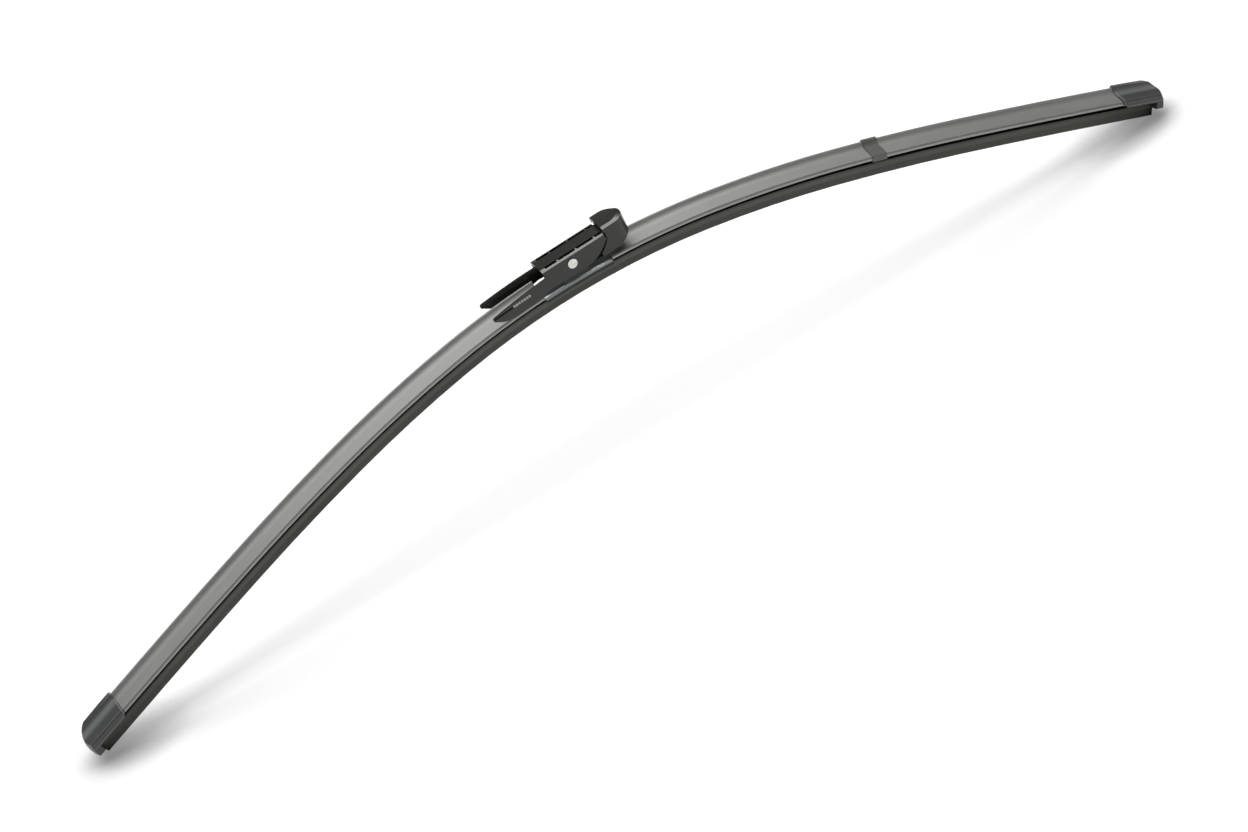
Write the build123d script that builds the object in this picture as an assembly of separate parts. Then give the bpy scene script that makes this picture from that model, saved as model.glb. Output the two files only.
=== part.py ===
from build123d import *
import math
import os

# Flat wiper blade: a rubber on two cambered spring strips, soft spoilers, end caps and an arm adapter.
# Millimetres. +X points to the outboard end, +Y to the rear of the blade, +Z away from the glass.
# The origin is the middle of the pivot rivet. The blade is shown unloaded, so it keeps its full camber.

# Camber line, which is the middle plane of the spring strips
LENGTH_INBOARD = 321.8
LENGTH_OUTBOARD = 331.7
END_SLOPE_INBOARD = 21.5
END_SLOPE_OUTBOARD = 21.2
CAMBER_POWER = 2.7
ARCS_PER_HALF = 4
STRAIGHT_END = 45.0
PIVOT_HEIGHT = 8.2

# Clearances
FIT = 0.05
RUN_FIT = 0.05
SIDE_PLAY = 0.35
END_GAP = 0.2

# Spring strips
STRIP_WIDTH = 3.4
STRIP_THICK = 0.8
STRIP_SPACING = 2.4
STRIP_SETBACK = 4.0

# Rubber section, half widths and heights
HEAD_HALF = 1.9
HEAD_HEIGHT = 0.35
HOLD_HALF = 2.3
HOLD_HEIGHT = 1.3
NECK_HALF = 0.7
SHOULDER_HALF = 2.3
SHOULDER_DEPTH = 4.8
SHOULDER_RISE = 0.9
WEDGE_DEPTH = 8.9
LIP_HALF = 0.45
TIP_DEPTH = 12.1
RUBBER_SETBACK = 3.8

# Spoiler section
SPOILER_FRONT = 6.4
SPOILER_REAR = 6.0
SPOILER_FOOT = 1.0
FIN_TOP = 4.85
FIN_FRONT = 3.6
FIN_THICK = 1.5
FACE_BEND = 0.2
FACE_BEND_LEVEL = 1.6
BEAD_HEIGHT = 1.65
BEAD_GROOVE = 0.3
BEAD_BULGE = 0.4
FOOT_GAP = 0.25

# Spoiler clip
CLIP_STATION = 164.8
CLIP_LENGTH = 7.8
CLIP_WALL = 0.8

# End caps
CAP_LENGTH = 26.1
CAP_WALL = 1.2
CAP_SKIRT = 1.2
CAP_GRIP = 14.0
CAP_DOME = 13.0
CAP_DOME_OFFSET = -0.5
CAP_DOME_LEVEL = -4.6
CAP_MOUTH_ROUND = 2.0
CAP_FALL = 1.2
CAP_HEEL_LENGTH = 6.0
CAP_HEEL_DEPTH = 6.6

# Centre bracket
BRACKET_LENGTH = 37.3
BRACKET_HALF = 7.0
BRACKET_CREST = 4.6
BRACKET_STEP = 5.4
BRACKET_STEP_DEPTH = 1.5
BRACKET_LEDGE_FALL = 0.7
BRACKET_CLAW = 3.6
BRACKET_PLATE = 1.2
EAR_THICK = 1.7
EAR_FOOT = 15.0
EAR_GAP = 0.4

# Pivot rivet, with heads that carry the adapter and a thinner shank in the ears
HEAD_DIAMETER = 4.8
SHANK_DIAMETER = 3.0
RIVET_PROUD = 0.5

# Adapter, measured from the rivet with its seat level
ADAPTER_TILT = 1.94
ADAPTER_WIDTH = 15.0
SEAT_HEIGHT = 4.5
SEAT_THICK = 1.2
SEAT_INBOARD = 15.0
SIDE_THICK = 1.3
SIDE_DEPTH = 6.0
SIDE_BEND = 5.0
SIDE_OUTBOARD = 19.4
SIDE_HEEL = 1.5
SIDE_FALL = 0.5
SLOT_WIDTH = 1.2
SLOT_INBOARD = 12.3
RIB_WIDTH = 0.9
RIB_PITCH = 10.2
RIB_COUNT = 3
RIB_FIRST = -5.3
RIB_FALL = 0.45
NOSE_GAP = 1.1
NOTCH_GAP = 0.35
NOSE_INBOARD = 15.0
NOSE_OUTBOARD = 33.0
NOSE_TOP = 7.5
NOSE_BEND = 25.0
NOSE_RIM_FRONT = 1.6
NOSE_RIM_REAR = 0.3
NOSE_RIM_END = 2.2
NOSE_RIM_FALL = 0.8
NOSE_DEPTH = 6.2
NOSE_LIFT = 3.8
NOSE_WALL = 1.0
NOSE_CORNER = 7.2
NOSE_ARCH = 0.8
HOOK_TIP = 19.8
HOOK_THICK = 1.5
TONGUE_DEPTH = 4.2
TONGUE_DROP = 0.3

# Pinch prongs, with a raised finger pad on each
PRONG_TIP = 46.0
PRONG_THICK = 1.0
PRONG_FLARE = 3.0
PRONG_TOP = 0.7
PRONG_MIDDLE = 34.0
PRONG_MIDDLE_TOP = -0.5
PRONG_HEEL = 22.0
PRONG_BELLY = 36.0
PRONG_DEPTH = 7.5
PRONG_TIP_LEVEL = -2.9
PRONG_TIP_RADIUS = 1.2
PAD_START = 24.5
PAD_TOP = -2.4
PAD_PROUD = 0.8
PAD_INSET = 0.6

# Levels and half widths that several pieces share
strip_half = STRIP_THICK / 2 + FIT
strip_inner = STRIP_SPACING / 2
strip_outer = strip_inner + STRIP_WIDTH
pocket_half = strip_outer + FIT
foot_level = -strip_half - SPOILER_FOOT
bead_level = foot_level + BEAD_HEIGHT
opening_half = HOLD_HALF + FOOT_GAP
bracket_half_length = BRACKET_LENGTH / 2
side_inner = ADAPTER_WIDTH / 2 - SIDE_THICK
ear_outer = side_inner - SIDE_PLAY
ear_radius = SEAT_HEIGHT - SEAT_THICK - EAR_GAP


def half_nodes(side):
    """Joints between the tangent arcs of one half, from the middle out: station, x, z, slope, curvature."""
    length = LENGTH_OUTBOARD if side > 0 else LENGTH_INBOARD
    fall = math.radians(END_SLOPE_OUTBOARD if side > 0 else END_SLOPE_INBOARD)
    step = (length - STRAIGHT_END) / ARCS_PER_HALF
    x, z, slope = 0.0, -PIVOT_HEIGHT, 0.0
    nodes = []
    for i in range(ARCS_PER_HALF):
        turn = fall * (1 - (1 - (i + 1) * step / length) ** CAMBER_POWER) - slope
        radius = step / turn
        nodes.append((i * step, x, z, slope, 1 / radius))
        x += radius * (math.sin(slope + turn) - math.sin(slope))
        z -= radius * (math.cos(slope) - math.cos(slope + turn))
        slope += turn
    nodes.append((length - STRAIGHT_END, x, z, slope, 0.0))
    return nodes


def place(station):
    """Point on the camber line at an arc length from the middle, and its slope in radians."""
    side = 1 if station >= 0 else -1
    start, x, z, slope, curvature = [node for node in half_nodes(side) if node[0] <= abs(station)][-1]
    run = abs(station) - start
    if curvature:
        turned = slope + run * curvature
        x += (math.sin(turned) - math.sin(slope)) / curvature
        z -= (math.cos(slope) - math.cos(turned)) / curvature
        slope = turned
    else:
        x += run * math.cos(slope)
        z -= run * math.sin(slope)
    return Vector(side * x, 0, z), -side * slope


def camber_path(start, stop):
    """Wire of tangent arcs along the camber line between two stations."""
    joints = [-node[0] for node in half_nodes(-1)] + [node[0] for node in half_nodes(1)]
    stations = [start] + sorted({s for s in joints if start < s < stop}) + [stop]
    edges = []
    for a, b in zip(stations, stations[1:]):
        middle = (a + b) / 2
        straight = LENGTH_OUTBOARD - STRAIGHT_END < middle or middle < STRAIGHT_END - LENGTH_INBOARD
        if straight:
            edges.append(Line(place(a)[0], place(b)[0]))
        else:
            edges.append(ThreePointArc(place(a)[0], place(middle)[0], place(b)[0]))
    return Wire(edges)


def section_plane(station):
    """Plane square to the camber line: its x runs across the blade and its y away from the glass."""
    point, slope = place(station)
    return Plane(origin=point, x_dir=(0, 1, 0), z_dir=(math.cos(slope), 0, math.sin(slope)))


def along_camber(section, start, stop):
    """Section carried along the camber line between two stations."""
    return sweep(section_plane(start) * section, path=camber_path(start, stop))


def both_halves(points):
    """Closed face from the points of its right half, mirrored across the blade's middle plane."""
    outline = points + [(-x, y) for x, y in reversed(points)]
    return make_face(Polyline(*outline, close=True))


def block(low, high):
    """Rectangle between two corners."""
    return Pos((low[0] + high[0]) / 2, (low[1] + high[1]) / 2) * Rectangle(high[0] - low[0], high[1] - low[1])


def rubber_section():
    """Head above the strips, web between them, hold below, thin neck, wedge and lip."""
    web_half = strip_inner - FIT
    hold_level = -strip_half - HOLD_HEIGHT
    return both_halves([
        (HEAD_HALF, strip_half + HEAD_HEIGHT),
        (HEAD_HALF, strip_half),
        (web_half, strip_half),
        (web_half, -strip_half),
        (HOLD_HALF, -strip_half),
        (HOLD_HALF, hold_level),
        (NECK_HALF, hold_level - NECK_HALF),
        (NECK_HALF, SHOULDER_RISE - SHOULDER_DEPTH),
        (SHOULDER_HALF, -SHOULDER_DEPTH),
        (SHOULDER_HALF, -SHOULDER_DEPTH - SHOULDER_RISE),
        (LIP_HALF, -WEDGE_DEPTH),
        (LIP_HALF, -TIP_DEPTH),
    ])


def strip_room():
    """Room that a piece leaves for the strips, the rubber's head and the rubber's hold below."""
    strips = block((-pocket_half, -strip_half), (pocket_half, strip_half))
    head = block((-HEAD_HALF - FIT, 0), (HEAD_HALF + FIT, strip_half + HEAD_HEIGHT + FIT))
    hold = block((-opening_half, -TIP_DEPTH), (opening_half, 0))
    return strips + head + hold


def spoiler_outline(foot=foot_level):
    """Outer shape of the spoiler: low front edge and a front face that sweeps up into a fin at the rear."""
    fin_rear = FIN_FRONT + FIN_THICK
    shoulder = FIN_TOP - FIN_THICK / 2
    toe = (-SPOILER_FRONT, bead_level + BEAD_GROOVE)
    bend = (FACE_BEND, FACE_BEND_LEVEL)
    root = (FIN_FRONT, shoulder)
    return make_face([
        Line((-SPOILER_FRONT, foot), toe),
        Line(toe, bend),
        TangentArc(bend, root, tangent=(bend[0] - toe[0], bend[1] - toe[1])),
        ThreePointArc(root, (FIN_FRONT + FIN_THICK / 2, FIN_TOP), (fin_rear, shoulder)),
        Line((fin_rear, shoulder), (SPOILER_REAR, bead_level)),
        Line((SPOILER_REAR, bead_level), (SPOILER_REAR, foot)),
        Line((SPOILER_REAR, foot), (-SPOILER_FRONT, foot)),
    ])


def beaded_outline():
    """Spoiler outline with the rounded bead along its front edge."""
    edge = -SPOILER_FRONT
    middle = (edge - BEAD_BULGE, (foot_level + bead_level) / 2)
    bead = make_face([
        ThreePointArc((edge, foot_level), middle, (edge, bead_level)),
        Line((edge, bead_level), (edge, foot_level)),
    ])
    return spoiler_outline() + bead


def spoiler_section():
    """Beaded outline with the groove over its bead, open below for strips and rubber."""
    edge = -SPOILER_FRONT
    groove = block((edge - BEAD_GROOVE, bead_level), (edge + BEAD_GROOVE, bead_level + BEAD_GROOVE))
    return beaded_outline() - groove - strip_room()


def spoiler_room():
    """Room that a piece leaves for the spoiler."""
    return offset(beaded_outline(), FIT, kind=Kind.INTERSECTION)


def clip_section():
    """Band round the spoiler that hooks under both of its feet."""
    outside = offset(spoiler_outline(), FIT + CLIP_WALL)
    return outside - spoiler_room() - strip_room()


def cap_dome():
    """Bullet that rounds the cap's end, with its axis along the blade and below the camber line."""
    bow = CAP_DOME * math.sqrt(0.5)
    profile = make_face([
        Line((-CAP_LENGTH, 0), (0, 0)),
        ThreePointArc((0, 0), (bow - CAP_DOME, bow), (-CAP_DOME, CAP_DOME)),
        Line((-CAP_DOME, CAP_DOME), (-CAP_LENGTH, CAP_DOME)),
        Line((-CAP_LENGTH, CAP_DOME), (-CAP_LENGTH, 0)),
    ])
    return Pos(0, CAP_DOME_OFFSET, CAP_DOME_LEVEL) * revolve(profile, Axis.X)


def cap_profile():
    """Cap seen from the front: falling top, deep heel at the end and a round corner at the mouth."""
    top = FIN_TOP + CAP_WALL
    skirt = foot_level - CAP_SKIRT
    low = -CAP_HEEL_DEPTH
    corner = CAP_MOUTH_ROUND
    return make_face([
        Line((-CAP_LENGTH, skirt + corner), (-CAP_LENGTH, top)),
        Line((-CAP_LENGTH, top), (0, top - CAP_FALL)),
        Line((0, top - CAP_FALL), (0, low)),
        Line((0, low), (-CAP_HEEL_LENGTH, low)),
        Line((-CAP_HEEL_LENGTH, low), (-CAP_HEEL_LENGTH, skirt)),
        Line((-CAP_HEEL_LENGTH, skirt), (corner - CAP_LENGTH, skirt)),
        RadiusArc((corner - CAP_LENGTH, skirt), (-CAP_LENGTH, skirt + corner), -corner),
    ])


def end_cap():
    """Cap of the outboard end, with its tip at x = 0 and the camber line as its x axis."""
    mouth = Plane.YZ.offset(-CAP_LENGTH)
    reach = FIN_TOP + TIP_DEPTH
    shell = extrude(mouth * offset(spoiler_outline(CAP_WALL - CAP_HEEL_DEPTH), CAP_WALL), CAP_LENGTH)
    shell = shell & extrude(Plane.XZ * cap_profile(), reach, both=True) & cap_dome()
    seat = extrude(mouth * spoiler_room(), CAP_GRIP + END_GAP)
    pocket = block((-pocket_half, -strip_half), (pocket_half, strip_half))
    strips = extrude(mouth * pocket, CAP_LENGTH - STRIP_SETBACK + END_GAP)
    rubber = extrude(mouth * strip_room(), CAP_LENGTH - RUBBER_SETBACK + END_GAP)
    return shell - seat - strips - rubber


def at_end(shape, side):
    """Shape built at the origin, set at the outboard (+1) or inboard (-1) end of the camber line."""
    point, slope = place(LENGTH_OUTBOARD if side > 0 else -LENGTH_INBOARD)
    if side < 0:
        shape = mirror(shape, about=Plane.YZ)
    return Pos(point) * Rot(0, -math.degrees(slope), 0) * shape


def centre_bracket():
    """Claws round the strips below a crest, with a sloped ledge on each side and two ears for the rivet."""
    outline = both_halves([
        (BRACKET_CREST, strip_half + BRACKET_PLATE),
        (BRACKET_STEP, -BRACKET_STEP_DEPTH),
        (BRACKET_HALF, -BRACKET_STEP_DEPTH - BRACKET_LEDGE_FALL),
        (BRACKET_HALF, -BRACKET_CLAW),
    ])
    body = along_camber(outline, -bracket_half_length, bracket_half_length)
    ear_low = -PIVOT_HEIGHT - BRACKET_STEP_DEPTH - BRACKET_LEDGE_FALL
    ear_root = block((-EAR_FOOT / 2, ear_low), (EAR_FOOT / 2, -PIVOT_HEIGHT))
    profile = make_hull(Circle(ear_radius).edges() + ear_root.edges())
    ear = extrude(Plane.XZ * profile, EAR_THICK)
    for y in (ear_outer, EAR_THICK - ear_outer):
        body += Pos(0, y, 0) * ear
    body -= along_camber(strip_room(), -bracket_half_length, bracket_half_length)
    return body - Rot(90, 0, 0) * Cylinder(SHANK_DIAMETER / 2 + FIT, ADAPTER_WIDTH)


def pivot_rivet():
    """Pin with a thin shank in the ears and a wider head on each end."""
    shank = SHANK_DIAMETER / 2
    head = HEAD_DIAMETER / 2
    inner = ear_outer + FIT
    tip = ADAPTER_WIDTH / 2 + RIVET_PROUD
    upper = [(0, tip), (head, tip), (head, inner), (shank, inner)]
    lower = [(x, -y) for x, y in reversed(upper)]
    return revolve(make_face(Polyline(*upper, *lower, close=True)), Axis.Y)


def side_outline(grow=0.0, rise=0.0):
    """Side plate seen from the side, swept up to its outboard end, grown for the gaps to nose and hook."""
    low = -SIDE_DEPTH - grow
    high = SEAT_HEIGHT + rise
    right = SIDE_OUTBOARD + grow
    return make_face([
        Line((-SEAT_INBOARD, low), (SIDE_BEND, low)),
        TangentArc((SIDE_BEND, low), (right, SIDE_HEEL), tangent=(1, 0)),
        Line((right, SIDE_HEEL), (right, high)),
        Line((right, high), (-SEAT_INBOARD, high)),
        Line((-SEAT_INBOARD, high), (-SEAT_INBOARD, low)),
    ])


def sloped_side():
    """Side plate of the front side, with its top sloped down to the outside."""
    half = ADAPTER_WIDTH / 2
    section = make_face(Polyline(
        (-half, -2 * SIDE_DEPTH),
        (-half, SEAT_HEIGHT - SIDE_FALL),
        (-side_inner, SEAT_HEIGHT),
        (-side_inner, -2 * SIDE_DEPTH),
        close=True,
    ))
    length = SEAT_INBOARD + SIDE_OUTBOARD
    bar = extrude(Plane.YZ.offset(-SEAT_INBOARD) * section, length)
    return bar & extrude(Plane.XZ * side_outline(), ADAPTER_WIDTH, both=True)


def rib_section():
    """Ribs of one station seen from the end: level on the seat and sloped down to both side plates."""
    seat_half = side_inner - SLOT_WIDTH
    low = SEAT_HEIGHT - SEAT_THICK
    return both_halves([
        (seat_half, SEAT_HEIGHT),
        (side_inner, SEAT_HEIGHT - RIB_FALL),
        (side_inner, low),
    ])


def nose_plan(inset=0.0):
    """Nose seen from above, rounded at its outboard end."""
    half = ADAPTER_WIDTH / 2 - inset
    right = NOSE_OUTBOARD - inset
    corner = NOSE_CORNER - inset
    return make_face([
        Line((NOSE_INBOARD, -half), (right - corner, -half)),
        RadiusArc((right - corner, -half), (right, corner - half), -corner),
        Line((right, corner - half), (right, half - corner)),
        RadiusArc((right, half - corner), (right - corner, half), -corner),
        Line((right - corner, half), (NOSE_INBOARD, half)),
        Line((NOSE_INBOARD, half), (NOSE_INBOARD, -half)),
    ])


def nose():
    """Hollow nose with a sloped rim and the hook for the arm's tongue, arched over the spoiler's fin."""
    end_low = NOSE_LIFT - NOSE_DEPTH
    floor = SEAT_HEIGHT - TONGUE_DROP
    slot_end = HOOK_TIP + TONGUE_DEPTH
    hook_low = NOSE_TOP - HOOK_THICK
    outside = make_face([
        Line((NOSE_INBOARD, -NOSE_DEPTH), (NOSE_BEND, -NOSE_DEPTH)),
        Line((NOSE_BEND, -NOSE_DEPTH), (NOSE_OUTBOARD, end_low)),
        Line((NOSE_OUTBOARD, end_low), (NOSE_OUTBOARD, NOSE_TOP)),
        Line((NOSE_OUTBOARD, NOSE_TOP), (HOOK_TIP, NOSE_TOP)),
        Line((HOOK_TIP, NOSE_TOP), (HOOK_TIP, floor)),
        Line((HOOK_TIP, floor), (NOSE_INBOARD, floor)),
        Line((NOSE_INBOARD, floor), (NOSE_INBOARD, -NOSE_DEPTH)),
    ])
    tall = 2 * (NOSE_TOP + NOSE_DEPTH)
    rim_low = NOSE_TOP - NOSE_RIM_FALL
    trunk = Pos(0, 0, rim_low - tall) * extrude(nose_plan(), tall)
    rim_inset = (NOSE_RIM_FRONT + NOSE_RIM_REAR) / 2
    rim_shift = Pos(rim_inset - NOSE_RIM_END, (NOSE_RIM_FRONT - NOSE_RIM_REAR) / 2)
    rim_foot = Plane.XY.offset(rim_low) * nose_plan()
    rim_edge = Plane.XY.offset(NOSE_TOP) * rim_shift * nose_plan(rim_inset)
    rim = loft([rim_foot, rim_edge], ruled=True)
    body = extrude(Plane.XZ * outside, ADAPTER_WIDTH, both=True) & (trunk + rim)
    slot_half = ADAPTER_WIDTH / 2 - NOSE_WALL
    slot = extrude(Plane.XZ * block((HOOK_TIP, floor), (slot_end, hook_low)), slot_half, both=True)
    hollow = Pos(0, 0, SEAT_HEIGHT - SEAT_THICK - tall) * extrude(nose_plan(NOSE_WALL), tall)
    arch_section = block((0, -tall), (slot_half, -NOSE_ARCH))
    arch = extrude(Plane.YZ.offset(NOSE_INBOARD) * arch_section, NOSE_OUTBOARD - NOSE_INBOARD)
    return body - slot - hollow - arch


def prong():
    """Pinch prong of the front side in its own plane: a leaf with a round tip and a raised finger pad."""
    root = -SEAT_INBOARD
    tip_root = PRONG_TIP_RADIUS - PRONG_TIP
    tip_high = PRONG_TIP_LEVEL + PRONG_TIP_RADIUS
    tip_low = PRONG_TIP_LEVEL - PRONG_TIP_RADIUS
    outline = make_face([
        Line((root, PRONG_TOP), (root, -SIDE_DEPTH)),
        Line((root, -SIDE_DEPTH), (-PRONG_HEEL, -PRONG_DEPTH)),
        Line((-PRONG_HEEL, -PRONG_DEPTH), (-PRONG_BELLY, -PRONG_DEPTH)),
        TangentArc((-PRONG_BELLY, -PRONG_DEPTH), (tip_root, tip_low), tangent=(-1, 0)),
        ThreePointArc((tip_root, tip_low), (-PRONG_TIP, PRONG_TIP_LEVEL), (tip_root, tip_high)),
        ThreePointArc((tip_root, tip_high), (-PRONG_MIDDLE, PRONG_MIDDLE_TOP), (root, PRONG_TOP)),
    ])
    pad = offset(outline, -PAD_INSET) & block((-PRONG_TIP, -2 * PRONG_DEPTH), (-PAD_START, PAD_TOP))
    return extrude(Plane.XZ * outline, PRONG_THICK) + extrude(Plane.XZ * pad, PRONG_THICK + PAD_PROUD)


def adapter():
    """Arm adapter: seat plate, side plates on ribs, pinch prongs and nose, tilted on the rivet."""
    half = ADAPTER_WIDTH / 2
    seat_half = side_inner - SLOT_WIDTH
    seat_low = Plane.XY.offset(SEAT_HEIGHT - SEAT_THICK)
    floor_end = NOSE_OUTBOARD - NOSE_CORNER
    body = extrude(seat_low * block((-SEAT_INBOARD, -seat_half), (SIDE_OUTBOARD, seat_half)), SEAT_THICK)
    slot_floor = block((SIDE_OUTBOARD, -seat_half), (floor_end, seat_half))
    body += extrude(seat_low * slot_floor, SEAT_THICK - TONGUE_DROP)
    gap = extrude(Plane.XZ * side_outline(NOSE_GAP, NOTCH_GAP), half - seat_half)
    head = nose()
    for y in (half, -seat_half):
        head -= Pos(0, y, 0) * gap
    body += head
    side = sloped_side()
    body += side + mirror(side, about=Plane.XZ)
    ribs = [(-SEAT_INBOARD, -SLOT_INBOARD)]
    for i in range(RIB_COUNT):
        middle = RIB_FIRST + i * RIB_PITCH
        ribs.append((middle - RIB_WIDTH / 2, middle + RIB_WIDTH / 2))
    for start, stop in ribs:
        body += extrude(Plane.YZ.offset(start) * rib_section(), stop - start)
    root = Pos(-SEAT_INBOARD, PRONG_THICK - half, 0)
    leaf = root * Rot(0, 0, PRONG_FLARE) * Pos(SEAT_INBOARD, 0, 0) * prong()
    body += leaf + mirror(leaf, about=Plane.XZ)
    bore = Rot(90, 0, 0) * Cylinder(HEAD_DIAMETER / 2 + RUN_FIT, 2 * ADAPTER_WIDTH)
    return Rot(0, -ADAPTER_TILT, 0) * (body - bore)


os.makedirs("parts", exist_ok=True)
strip_span = (STRIP_SETBACK - LENGTH_INBOARD, LENGTH_OUTBOARD - STRIP_SETBACK)
rubber_span = (RUBBER_SETBACK - LENGTH_INBOARD, LENGTH_OUTBOARD - RUBBER_SETBACK)
clip_span = (CLIP_STATION - CLIP_LENGTH / 2, CLIP_STATION + CLIP_LENGTH / 2)
strip = block((strip_inner, -STRIP_THICK / 2), (strip_outer, STRIP_THICK / 2))
spoiler_start = bracket_half_length + END_GAP
spoiler_setback = CAP_LENGTH - CAP_GRIP
pieces = {
    "wiper_rubber": along_camber(rubber_section(), *rubber_span),
    "spring_strip_front": along_camber(mirror(strip, about=Plane.YZ), *strip_span),
    "spring_strip_rear": along_camber(strip, *strip_span),
    "spoiler_inboard": along_camber(spoiler_section(), spoiler_setback - LENGTH_INBOARD, -spoiler_start),
    "spoiler_outboard": along_camber(spoiler_section(), spoiler_start, LENGTH_OUTBOARD - spoiler_setback),
    "spoiler_clip": along_camber(clip_section(), *clip_span),
    "end_cap_inboard": at_end(end_cap(), -1),
    "end_cap_outboard": at_end(end_cap(), 1),
    "centre_bracket": centre_bracket(),
    "pivot_rivet": pivot_rivet(),
    "adapter": adapter(),
}
for name, shape in pieces.items():
    export_step(shape, f"parts/{name}.step")
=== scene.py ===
import math

import bpy
from mathutils import Matrix, Vector
from mathutils.bvhtree import BVHTree


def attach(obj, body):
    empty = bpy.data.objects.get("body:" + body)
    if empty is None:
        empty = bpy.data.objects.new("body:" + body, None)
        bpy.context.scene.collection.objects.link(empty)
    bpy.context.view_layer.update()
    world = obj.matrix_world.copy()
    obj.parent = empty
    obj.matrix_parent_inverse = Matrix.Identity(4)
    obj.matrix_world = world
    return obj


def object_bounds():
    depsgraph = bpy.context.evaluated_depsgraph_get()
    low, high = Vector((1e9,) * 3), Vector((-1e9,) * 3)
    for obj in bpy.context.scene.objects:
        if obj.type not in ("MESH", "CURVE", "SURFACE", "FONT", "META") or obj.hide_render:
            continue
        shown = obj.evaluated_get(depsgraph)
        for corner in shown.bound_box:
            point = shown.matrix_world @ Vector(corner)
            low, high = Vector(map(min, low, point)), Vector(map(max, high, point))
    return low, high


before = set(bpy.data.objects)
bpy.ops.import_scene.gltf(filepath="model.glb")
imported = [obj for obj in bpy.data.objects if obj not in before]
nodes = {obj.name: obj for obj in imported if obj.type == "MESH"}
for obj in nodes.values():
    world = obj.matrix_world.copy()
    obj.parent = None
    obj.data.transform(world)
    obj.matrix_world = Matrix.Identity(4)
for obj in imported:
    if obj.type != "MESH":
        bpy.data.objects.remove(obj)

cad_low, cad_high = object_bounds()


# Shader nodes

OCCLUSION_SAMPLES = 8
STRIPE_SPAN = 0.008


def material(name):
    """New node material, its node tree and its Principled shader."""
    made = bpy.data.materials.new(name)
    made.use_nodes = True
    tree = made.node_tree
    return made, tree, tree.nodes["Principled BSDF"]


def coordinate(tree, kind):
    """Texture coordinate of one kind, such as Object or Normal."""
    return tree.nodes.new("ShaderNodeTexCoord").outputs[kind]


def split(tree, vector):
    """The X, Y and Z parts of a vector."""
    made = tree.nodes.new("ShaderNodeSeparateXYZ")
    tree.links.new(vector, made.inputs["Vector"])
    return made.outputs


def reckon(tree, operation, *factors):
    """Math node over one factor or two."""
    made = tree.nodes.new("ShaderNodeMath")
    made.operation = operation
    for factor, socket in zip(factors, made.inputs):
        tree.links.new(factor, socket)
    return made.outputs["Value"]


def noise(tree, scale, detail, stretch):
    """Noise in the object's own coordinates, stretched along its axes."""
    mapping = tree.nodes.new("ShaderNodeMapping")
    mapping.inputs["Scale"].default_value = stretch
    made = tree.nodes.new("ShaderNodeTexNoise")
    made.inputs["Scale"].default_value = scale
    made.inputs["Detail"].default_value = detail
    tree.links.new(coordinate(tree, "Object"), mapping.inputs["Vector"])
    tree.links.new(mapping.outputs["Vector"], made.inputs["Vector"])
    return made.outputs["Fac"]


def ramp(tree, fac, stops):
    """Colour ramp over a factor. Stops are (position, colour)."""
    made = tree.nodes.new("ShaderNodeValToRGB")
    points = made.color_ramp.elements
    while len(points) < len(stops):
        points.new(0.5)
    for point, (position, colour) in zip(points, stops):
        point.position = position
        point.color = (*colour, 1)
    tree.links.new(fac, made.inputs["Fac"])
    return made.outputs["Color"]


def spread(tree, fac, low=0.0, high=1.0, start=0.0, stop=1.0):
    """Factor between start and stop, mapped to the range from low to high."""
    made = tree.nodes.new("ShaderNodeMapRange")
    made.inputs["From Min"].default_value = start
    made.inputs["From Max"].default_value = stop
    made.inputs["To Min"].default_value = low
    made.inputs["To Max"].default_value = high
    tree.links.new(fac, made.inputs["Value"])
    return made.outputs["Result"]


def bump(tree, shader, heights):
    """Chain of bumps on a shader. Heights are (factor, strength, distance in metres)."""
    normal = None
    for fac, strength, distance in heights:
        made = tree.nodes.new("ShaderNodeBump")
        made.inputs["Strength"].default_value = strength
        made.inputs["Distance"].default_value = distance
        tree.links.new(fac, made.inputs["Height"])
        if normal:
            tree.links.new(normal, made.inputs["Normal"])
        normal = made.outputs["Normal"]
    tree.links.new(normal, shader.inputs["Normal"])


def facing(tree, across, up):
    """Mask of leaning faces: a ramp over the size of the normal's y part, times one over its z."""
    parts = split(tree, coordinate(tree, "Normal"))
    lean = ramp(tree, reckon(tree, "ABSOLUTE", parts["Y"]), across)
    return reckon(tree, "MULTIPLY", lean, ramp(tree, parts["Z"], up))


def stripe(tree, stops):
    """Mask along the blade, from a ramp that runs from STRIPE_SPAN in front to as far behind."""
    parts = split(tree, coordinate(tree, "Object"))
    return ramp(tree, spread(tree, parts["Y"], start=-STRIPE_SPAN, stop=STRIPE_SPAN), stops)


def openness(tree, reach):
    """One in the open, less where something lies within the reach, in metres."""
    made = tree.nodes.new("ShaderNodeAmbientOcclusion")
    made.inputs["Distance"].default_value = reach
    made.samples = OCCLUSION_SAMPLES
    return made.outputs["AO"]


def blended(tree, mode, mask, first, second):
    """Two colours mixed by a mask. A plain colour or number is set on its own socket."""
    made = tree.nodes.new("ShaderNodeMix")
    made.data_type = "RGBA"
    made.blend_type = mode
    sockets = {found.identifier: found for found in made.inputs}
    for socket, value in (("Factor_Float", mask), ("A_Color", first), ("B_Color", second)):
        if isinstance(value, bpy.types.NodeSocket):
            tree.links.new(value, sockets[socket])
        elif isinstance(value, tuple):
            sockets[socket].default_value = (*value, 1)
        else:
            sockets[socket].default_value = value
    return {found.identifier: found for found in made.outputs}["Result_Color"]


# Materials

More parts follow.
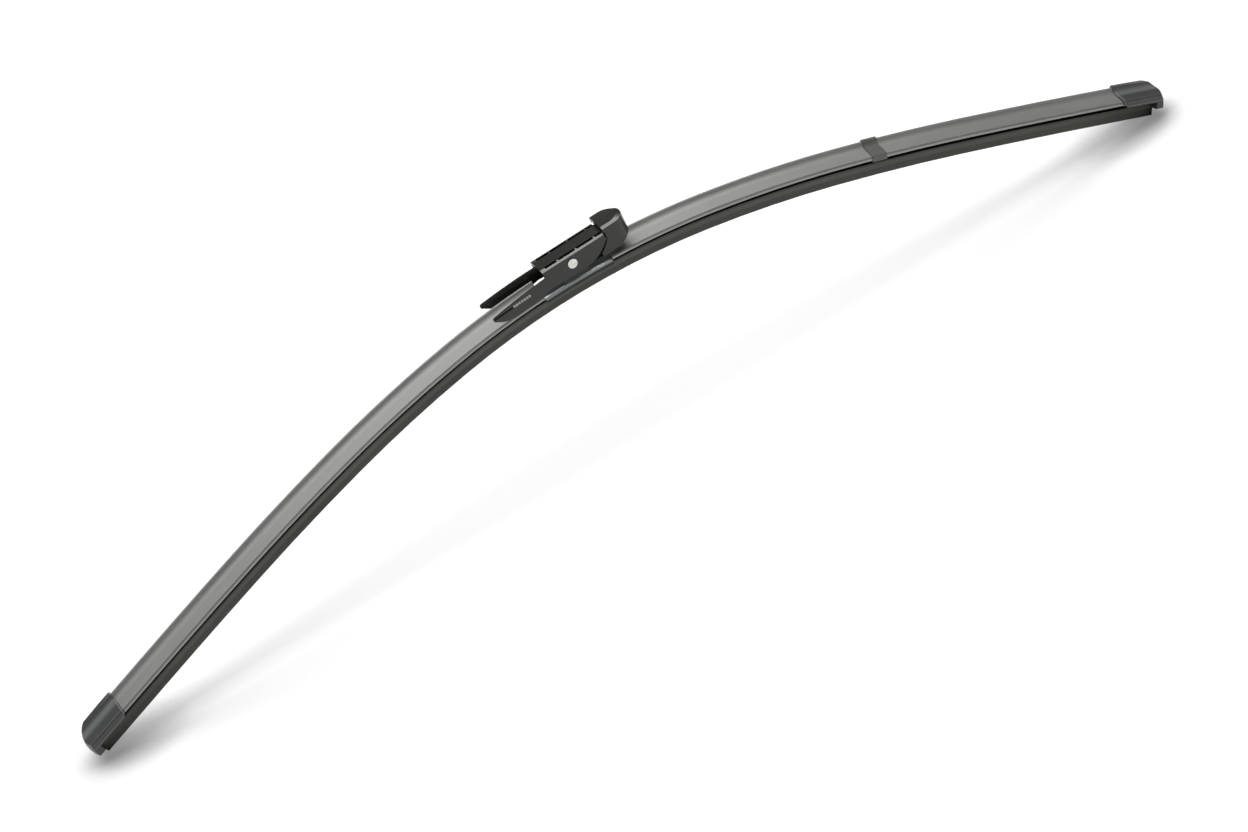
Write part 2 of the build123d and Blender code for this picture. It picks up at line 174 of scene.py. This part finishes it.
TONE_LOW = 0.3
TONE_HIGH = 0.7
CLOUD_SCALE = 90.0
CLOUD_DETAIL = 5.0
CLOUD_STRENGTH = 0.15
CLOUD_DEPTH = 0.0001
GRAIN_SCALE = 2600.0
GRAIN_DETAIL = 3.0
GRAIN_STRENGTH = 0.35
GRAIN_DEPTH = 0.00002
DRAWN_SCALE = 700.0
DRAWN_DETAIL = 4.0
DRAWN_STRENGTH = 0.2
DRAWN_DEPTH = 0.00003


def moulded(
    name, dark, light, rough, specular=0.5, ior=1.5, stretch=(1, 1, 1),
    edge=None, sheen=None, shade=None,
):
    """Moulded plastic or rubber: cloudy colour, a fine grain and uneven gloss.

    A painted highlight can be laid on leaning faces (edge) and a painted sheen on a stripe along
    the blade (sheen), and painted shade can darken the colour in gaps (shade).
    """
    made, tree, shader = material(name)
    cloud = noise(tree, CLOUD_SCALE, CLOUD_DETAIL, stretch)
    grain = noise(tree, GRAIN_SCALE, GRAIN_DETAIL, stretch)
    colour = ramp(tree, cloud, [(TONE_LOW, dark), (TONE_HIGH, light)])
    # Painted highlight: a paler tone on leaning faces
    if edge:
        tone, across, up = edge
        colour = blended(tree, "MIX", facing(tree, across, up), colour, tone)
    # Painted sheen: a paler stripe along the blade
    if sheen:
        tone, stops = sheen
        colour = blended(tree, "MIX", stripe(tree, stops), colour, tone)
    # Painted shade: darker where something lies close
    if shade:
        reach, stops = shade
        gaps = ramp(tree, openness(tree, reach), stops)
        colour = blended(tree, "MULTIPLY", 1.0, colour, gaps)
    tree.links.new(colour, shader.inputs["Base Color"])
    tree.links.new(spread(tree, cloud, *rough), shader.inputs["Roughness"])
    shader.inputs["Specular IOR Level"].default_value = specular
    shader.inputs["IOR"].default_value = ior
    bump(tree, shader, [
        (grain, GRAIN_STRENGTH, GRAIN_DEPTH),
        (cloud, CLOUD_STRENGTH, CLOUD_DEPTH),
    ])
    return made


def steel(name, dark, light, rough, stretch):
    """Bare metal with fine drawn lines."""
    made, tree, shader = material(name)
    lines = noise(tree, DRAWN_SCALE, DRAWN_DETAIL, stretch)
    colour = ramp(tree, lines, [(TONE_LOW, dark), (TONE_HIGH, light)])
    tree.links.new(colour, shader.inputs["Base Color"])
    tree.links.new(spread(tree, lines, *rough), shader.inputs["Roughness"])
    shader.inputs["Metallic"].default_value = 1.0
    bump(tree, shader, [(lines, DRAWN_STRENGTH, DRAWN_DEPTH)])
    return made


def grey(value):
    """Colour with three equal parts."""
    return value, value, value


NONE = grey(0)
FULL = grey(1)

# Ramps over the size of the normal's y part, which pick the faces with a painted highlight
SLOPES = [(0.22, NONE), (0.32, FULL), (0.5, FULL), (0.62, NONE)]
FRONT = [(0.4, NONE), (0.6, FULL)]
HOLLOW = [(0.2, NONE), (0.38, FULL), (0.85, NONE)]
# Ramps over the normal's z part
TOPS = [(0.25, NONE), (0.45, FULL)]
WALLS = [(0.3, FULL), (0.5, NONE)]
# Ramp across the blade, for the caps' painted sheen
CAP_SHEEN = [(0.34, NONE), (0.48, FULL), (0.58, FULL), (0.72, NONE)]
# Ramp over the openness for the rubber's painted shade, and how far it looks
UNDERCUT = [(0.45, grey(0.05)), (0.85, FULL)]
UNDERCUT_REACH = 0.007

# The rubber's shade is painted shade, darker where the spoiler and strips lie close above it.
RUBBER = moulded(
    "wiping_rubber", (0.094, 0.093, 0.083), (0.118, 0.117, 0.104), (0.5, 0.65),
    specular=0.12, stretch=(0.15, 1, 1), shade=(UNDERCUT_REACH, UNDERCUT),
)
# The spoiler's edge tone is a painted highlight on its steep front faces, the bead along its foot.
SPOILER = moulded(
    "spoiler_rubber", (0.15, 0.155, 0.142), (0.176, 0.181, 0.166), (0.46, 0.54),
    specular=1.0, ior=1.9, stretch=(0.12, 1, 1), edge=((0.2, 0.205, 0.19), FRONT, WALLS),
)
# The cap's edge tone is a painted highlight on its leaning faces, and its sheen a painted sheen on
# a stripe along it.
CAP = moulded(
    "cap_plastic", (0.046, 0.049, 0.047), (0.06, 0.063, 0.061), (0.28, 0.36),
    edge=((0.11, 0.115, 0.112), HOLLOW, TOPS), sheen=((0.15, 0.157, 0.153), CAP_SHEEN),
)
CLIP = moulded(
    "clip_plastic", (0.09, 0.092, 0.087), (0.115, 0.117, 0.111), (0.45, 0.55), specular=0.7,
)
# The adapter's edge tone is a painted highlight on its sloped tops and edges.
ADAPTER = moulded(
    "adapter_plastic", (0.015, 0.0147, 0.012), (0.023, 0.0225, 0.0185), (0.18, 0.27),
    edge=((0.26, 0.26, 0.25), SLOPES, TOPS),
)
BRACKET = moulded(
    "bracket_paint", (0.014, 0.019, 0.017), (0.022, 0.027, 0.025), (0.35, 0.45), specular=0.35,
)
# Pale colour of the grip ridges, a painted glint
GRIP = moulded("grip_painted_glint", (0.4, 0.4, 0.38), (0.55, 0.55, 0.52), (0.3, 0.4))
# Pale colour of the caps' rims, a painted highlight line
RIM = moulded("rim_painted_highlight", (0.16, 0.168, 0.164), (0.24, 0.25, 0.245), (0.35, 0.45))
# Black of the slot strips, painted shade in the adapter's slots
SLOT_SHADE = moulded("slot_painted_shade", grey(0.002), grey(0.004), (0.7, 0.9), specular=0.0)
BAND = steel(
    "band_steel", (0.56, 0.6, 0.59), (0.68, 0.72, 0.71), (0.3, 0.4), (0.05, 1, 1),
)
RIVET = steel(
    "rivet_steel", (0.5, 0.49, 0.46), (0.78, 0.77, 0.74), (0.22, 0.4), (1, 0.2, 1),
)
STRIP = steel(
    "strip_steel", (0.40, 0.41, 0.43), (0.52, 0.53, 0.55), (0.3, 0.42), (0.05, 1, 1),
)

# Material of each node and the width of its bevels, in metres
FINISH = {
    "wiper_rubber": (RUBBER, 0.00012),
    "spring_strip_front": (STRIP, 0.0001),
    "spring_strip_rear": (STRIP, 0.0001),
    "spoiler_inboard": (SPOILER, 0.00015),
    "spoiler_outboard": (SPOILER, 0.00015),
    "spoiler_clip": (CLIP, 0.0003),
    "end_cap_inboard": (CAP, 0.0005),
    "end_cap_outboard": (CAP, 0.0005),
    "centre_bracket": (BRACKET, 0.0003),
    "pivot_rivet": (RIVET, 0.0003),
    "adapter": (ADAPTER, 0.00006),
}
BEVEL_SEGMENTS = 2
BEVEL_ANGLE = math.radians(35)


def soften(made, width):
    """Bevel modifier on an object, with its width in metres."""
    bevel = made.modifiers.new("edge", "BEVEL")
    bevel.width = width
    bevel.segments = BEVEL_SEGMENTS
    return bevel


for name, (finish, width) in FINISH.items():
    node = nodes[name]
    node.data.materials.clear()
    node.data.materials.append(finish)
    bevel = soften(node, width)
    bevel.limit_method = "ANGLE"
    bevel.angle_limit = BEVEL_ANGLE
    bevel.harden_normals = True


# Small shapes that the solids leave out, some pale or black to paint highlights and shade, in
# millimetres like the solids

MM = 0.001


def add_object(name, data):
    """New object in the scene."""
    made = bpy.data.objects.new(name, data)
    bpy.context.scene.collection.objects.link(made)
    return made


def add_piece(name, points, faces, finish, body, slot, bevel=0.0):
    """Mesh piece from points in millimetres, which rides on a body and takes a finish; the slot is
    not used.
    """
    mesh = bpy.data.meshes.new(name)
    mesh.from_pydata([Vector(point) * MM for point in points], [], faces)
    made = add_object(name, mesh)
    mesh.materials.append(finish)
    if bevel:
        soften(made, bevel * MM)
    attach(made, body)


def shell(first, rings, count, side=1):
    """Faces of a closed tube of rings with count points each, from point number first.

    On the front side (-1) the points are mirrored, so the faces are turned round.
    """
    last = first + (rings - 1) * count
    faces = [tuple(range(first, first + count)), tuple(reversed(range(last, last + count)))]
    for start in range(first, last, count):
        for j in range(count):
            a, b = start + j, start + (j + 1) % count
            faces.append((b, a, a + count, b + count))
    if side < 0:
        faces = [tuple(reversed(face)) for face in faces]
    return faces


BAND_HALF = 18.6
BAND_STEPS = 24
BAND_ARC = 8
BAND_UPPER = Vector((5.2, -0.75))
BAND_LOWER = Vector((7.02, -2.2))
BAND_ROOT = Vector((5.4, -1.6))
BAND_BULGE = 0.3
CAMBER_LEVEL = -8.2
CAMBER_RADIUS = 390.0


def bracket_band(side):
    """Bright rolled edge along the bracket's ledge, front (-1) or rear (+1)."""
    chord = BAND_LOWER - BAND_UPPER
    out = Vector((-chord.y, chord.x)).normalized()
    section = [BAND_ROOT]
    for i in range(BAND_ARC + 1):
        t = i / BAND_ARC
        section.append(BAND_UPPER + chord * t + out * BAND_BULGE * 4 * t * (1 - t))
    points = []
    for i in range(BAND_STEPS + 1):
        turn = BAND_HALF * (2 * i / BAND_STEPS - 1) / CAMBER_RADIUS
        for across, level in section:
            reach = CAMBER_RADIUS + level
            z = CAMBER_LEVEL - CAMBER_RADIUS + reach * math.cos(turn)
            points.append((reach * math.sin(turn), side * across, z))
    return points, shell(0, BAND_STEPS + 1, len(section), side)


ADAPTER_TILT = math.radians(1.94)


def tilted(x, y, z):
    """Point of the adapter, turned about the rivet as the adapter sits at rest."""
    c, s = math.cos(ADAPTER_TILT), math.sin(ADAPTER_TILT)
    return x * c - z * s, y, x * s + z * c


GRIP_COUNT = 7
GRIP_FIRST = -25.4
GRIP_PITCH = 1.45
GRIP_HALF = 0.55
GRIP_INNER = -0.8
GRIP_OUTER = -1.8
GRIP_RISE = 0.95
GRIP_FOOT = 0.15
GRIP_SUNK = 0.1
GRIP_BEVEL = 0.1
PRONG_ROOT = (-15.0, -6.5)
PRONG_FLARE = math.radians(3.0)
PAD_TOP = -2.4


def prong_grip(side):
    """Row of sloped ridges on a prong's finger ledge, front (-1) or rear (+1); their pale colour
    paints glints.
    """
    section = [
        (GRIP_INNER, PAD_TOP + GRIP_RISE),
        (GRIP_OUTER, PAD_TOP + GRIP_FOOT),
        (GRIP_OUTER, PAD_TOP - GRIP_SUNK),
        (GRIP_INNER, PAD_TOP - GRIP_SUNK),
    ]
    c, s = math.cos(PRONG_FLARE), math.sin(PRONG_FLARE)
    points = []
    faces = []
    for i in range(GRIP_COUNT):
        middle = GRIP_FIRST - i * GRIP_PITCH
        faces += shell(len(points), 2, len(section), side)
        for x in (middle - GRIP_HALF, middle + GRIP_HALF):
            run = x - PRONG_ROOT[0]
            for y, z in section:
                px = PRONG_ROOT[0] + run * c - y * s
                py = PRONG_ROOT[1] + run * s + y * c
                points.append(tilted(px, -side * py, z))
    return points, faces


SEAT_TOP = 4.5
SEAT_HALF = 5.0
SLOT_LIP = 0.8
SLOT_SKIN = 0.02
SLOT_DROP = 1.1
SLOT_SPANS = ((-12.2, -5.85), (-4.75, 4.35), (5.45, 14.55), (15.65, 19.3))


def slot_shade_strips(side):
    """Black strips that paint shade along the seat's edge in the slots beside the ribs, front (-1)
    or rear (+1).
    """
    section = [
        (SEAT_HALF - SLOT_LIP, SEAT_TOP - SLOT_SKIN),
        (SEAT_HALF - SLOT_LIP, SEAT_TOP + SLOT_SKIN),
        (SEAT_HALF + SLOT_SKIN, SEAT_TOP + SLOT_SKIN),
        (SEAT_HALF + SLOT_SKIN, SEAT_TOP - SLOT_DROP),
        (SEAT_HALF - SLOT_SKIN, SEAT_TOP - SLOT_DROP),
        (SEAT_HALF - SLOT_SKIN, SEAT_TOP - SLOT_SKIN),
    ]
    points = []
    faces = []
    for span in SLOT_SPANS:
        faces += shell(len(points), 2, len(section), side)
        for x in span:
            points += [tilted(x, side * y, z) for y, z in section]
    return points, faces


# Ends of the camber line: side, x and z of the tip, and the slope there
CAP_TIPS = {
    "inboard": (-1, 308.274, -93.542, math.radians(21.3939)),
    "outboard": (1, 318.142, -94.974, math.radians(21.1036)),
}
RIM_TOE = -2.0
RIM_MOUTH = -25.7
RIM_LOW = -1.7
RIM_REAR = 15.0
RIM_CORNER = 3.0
RIM_ARC = 12
RIM_STEP = 0.4
RIM_UNROLL = 7.6
RIM_RADIUS = 0.22
RIM_SIDES = 8
RIM_ABOVE = 20.0


def rim_plan():
    """Line along a cap's front wall, round the corner of its mouth and over its face.

    The steps are (way along the blade from the tip, way round the section).
    """
    wall = RIM_TOE - RIM_MOUTH - RIM_CORNER
    mouth = RIM_REAR - RIM_LOW - RIM_CORNER
    plan = [(RIM_TOE - i * RIM_STEP, RIM_LOW) for i in range(round(wall / RIM_STEP) + 1)]
    for i in range(1, RIM_ARC + 1):
        turn = math.radians(90 * i / RIM_ARC)
        plan.append((
            RIM_MOUTH + RIM_CORNER * (1 - math.sin(turn)),
            RIM_LOW + RIM_CORNER * (1 - math.cos(turn)),
        ))
    for i in range(1, round(mouth / RIM_STEP) + 1):
        plan.append((RIM_MOUTH, RIM_LOW + RIM_CORNER + i * RIM_STEP))
    return plan


def cap_rim(end):
    """Thin raised rim on a cap, laid on the outside of its solid; its pale colour paints a
    highlight line.
    """
    side, x, z, slope = CAP_TIPS[end]
    tip = Vector((side * x, 0, z))
    along = Vector((side * math.cos(slope), 0, -math.sin(slope)))
    away = Vector((side * math.sin(slope), 0, math.cos(slope)))
    mesh = nodes[f"end_cap_{end}"].data
    skin = BVHTree.FromPolygons(
        [vertex.co / MM for vertex in mesh.vertices],
        [tuple(polygon.vertices) for polygon in mesh.polygons],
    )
    line = []
    for run, climb in rim_plan():
        turn = climb / RIM_UNROLL
        outward = away * math.sin(turn) - Vector((0, math.cos(turn), 0))
        start = tip + along * run + outward * RIM_ABOVE
        spot, normal, _, _ = skin.ray_cast(start, -outward)
        if spot is not None:
            line.append((spot, normal))
    points = []
    for i, (spot, normal) in enumerate(line):
        ahead = line[min(i + 1, len(line) - 1)][0] - line[max(i - 1, 0)][0]
        beside = ahead.cross(normal).normalized()
        for j in range(RIM_SIDES):
            turn = 2 * math.pi * j / RIM_SIDES
            spoke = beside * math.cos(turn) + normal * math.sin(turn)
            points.append(spot + spoke * RIM_RADIUS)
    return points, shell(0, len(line), RIM_SIDES)


# Rims and grips take pale colours that paint highlights, and the slot strips black that paints
# shade.
for end in CAP_TIPS:
    add_piece(f"cap_rim_{end}", *cap_rim(end), RIM, "blade", "cap")
for side, end in ((-1, "front"), (1, "rear")):
    add_piece(f"slot_shade_strips_{end}", *slot_shade_strips(side), SLOT_SHADE, "adapter", "adapter")
    add_piece(f"bracket_band_{end}", *bracket_band(side), BAND, "blade", "bracket")
    add_piece(f"prong_grip_{end}", *prong_grip(side), GRIP, "adapter", "adapter", GRIP_BEVEL)


# Floor

WHITE = (1, 1, 1, 1)
FLOOR_HALF = 40.0
FLOOR_ROUGHNESS = 0.9
FLOOR_SPECULAR = 0.1
# Painted contact shadow: how far the openness looks, and the floor's tones over it
CONTACT_REACH = 0.028
CONTACT_SHADOW_TONES = [(0.45, grey(0.05)), (0.72, grey(0.36)), (0.94, grey(0.92))]
GLOW_LOW = 0.24
GLOW_HIGH = 1.0
GLOW_NEAR = 0.45
GLOW_FAR = 1.8


def seen_ray(tree):
    """One for rays from the camera or from a gloss, zero for the rest."""
    path = tree.nodes.new("ShaderNodeLightPath").outputs
    return reckon(tree, "MAXIMUM", path["Is Camera Ray"], path["Is Glossy Ray"])


def floor_material():
    """Plain white floor that keeps the object's shadow, darkens to a painted contact shadow where
    the object lies close, and glows a little for camera and gloss.

    The glow rises with the distance from the object.
    """
    made, tree, shader = material("floor_white")
    tone = ramp(tree, openness(tree, CONTACT_REACH), CONTACT_SHADOW_TONES)
    tree.links.new(tone, shader.inputs["Base Color"])
    shader.inputs["Roughness"].default_value = FLOOR_ROUGHNESS
    shader.inputs["Specular IOR Level"].default_value = FLOOR_SPECULAR
    shader.inputs["Emission Color"].default_value = WHITE
    away = tree.nodes.new("ShaderNodeVectorMath")
    away.operation = "LENGTH"
    tree.links.new(coordinate(tree, "Object"), away.inputs[0])
    rise = spread(tree, away.outputs["Value"], GLOW_LOW, GLOW_HIGH, GLOW_NEAR, GLOW_FAR)
    glow = reckon(tree, "MULTIPLY", rise, seen_ray(tree))
    tree.links.new(glow, shader.inputs["Emission Strength"])
    return made


def make_floor(level, half):
    """Square floor at a level."""
    mesh = bpy.data.meshes.new("floor")
    plan = [(-half, -half), (half, -half), (half, half), (-half, half)]
    mesh.from_pydata([(x, y, level) for x, y in plan], [], [(0, 1, 2, 3)])
    made = add_object("floor", mesh)
    mesh.materials.append(floor_material())


make_floor(cad_low[2], FLOOR_HALF)


# Light

SKY_LOW = 0.05
SKY_HIGH = 0.35
LIGHT_DISTANCE = 3.0
# Direction from the object, width and depth in metres, and watts
LIGHTS = {
    "ceiling": ((0.0, -0.1, 0.995), 5.0, 1.3, 52.0),
    "back": ((0.05, 0.48, 0.875), 3.6, 2.0, 44.0),
}


def softbox(name, direction, width, depth, watts):
    """Rectangular soft light that faces the object from a direction."""
    data = bpy.data.lights.new(name, "AREA")
    data.shape = "RECTANGLE"
    data.size = width
    data.size_y = depth
    data.energy = watts
    made = add_object(name, data)
    place = Vector(direction).normalized() * LIGHT_DISTANCE
    made.location = place
    made.rotation_mode = "QUATERNION"
    made.rotation_quaternion = (-place).to_track_quat("-Z", "Y")


world = bpy.data.worlds.new("studio")
bpy.context.scene.world = world
world.use_nodes = True
sky = world.node_tree
paint = sky.nodes["Background"]
paint.inputs["Color"].default_value = WHITE
height = split(sky, coordinate(sky, "Generated"))["Z"]
sky.links.new(spread(sky, height, SKY_LOW, SKY_HIGH), paint.inputs["Strength"])

for name, settings in LIGHTS.items():
    softbox(name, *settings)


# Camera, fitted to the photo

VIEW_AZIMUTH = math.radians(-11.79)
VIEW_ELEVATION = math.radians(33.534)
VIEW_ROLL = math.radians(24.853)
VIEW_PLACE = Vector((-0.22364, -1.03916, 0.60963))
SENSOR_WIDTH = 36.0
LENS = 75.0
CLIP_START = 0.05
CLIP_END = 50.0

data = bpy.data.cameras.new("photo_view")
data.sensor_width = SENSOR_WIDTH
data.lens = LENS
data.clip_start = CLIP_START
data.clip_end = CLIP_END
camera = add_object("photo_view", data)
bpy.context.scene.camera = camera
level = math.cos(VIEW_ELEVATION)
back = Vector((
    math.sin(VIEW_AZIMUTH) * level,
    -math.cos(VIEW_AZIMUTH) * level,
    math.sin(VIEW_ELEVATION),
))
right = Vector((0, 0, 1)).cross(back).normalized()
up = back.cross(right)
right, up = (
    right * math.cos(VIEW_ROLL) - up * math.sin(VIEW_ROLL),
    up * math.cos(VIEW_ROLL) + right * math.sin(VIEW_ROLL),
)
pose = Matrix((right, up, back)).transposed().to_4x4()
pose.translation = VIEW_PLACE
camera.matrix_world = pose

bpy.context.scene.view_settings.view_transform = "Standard"
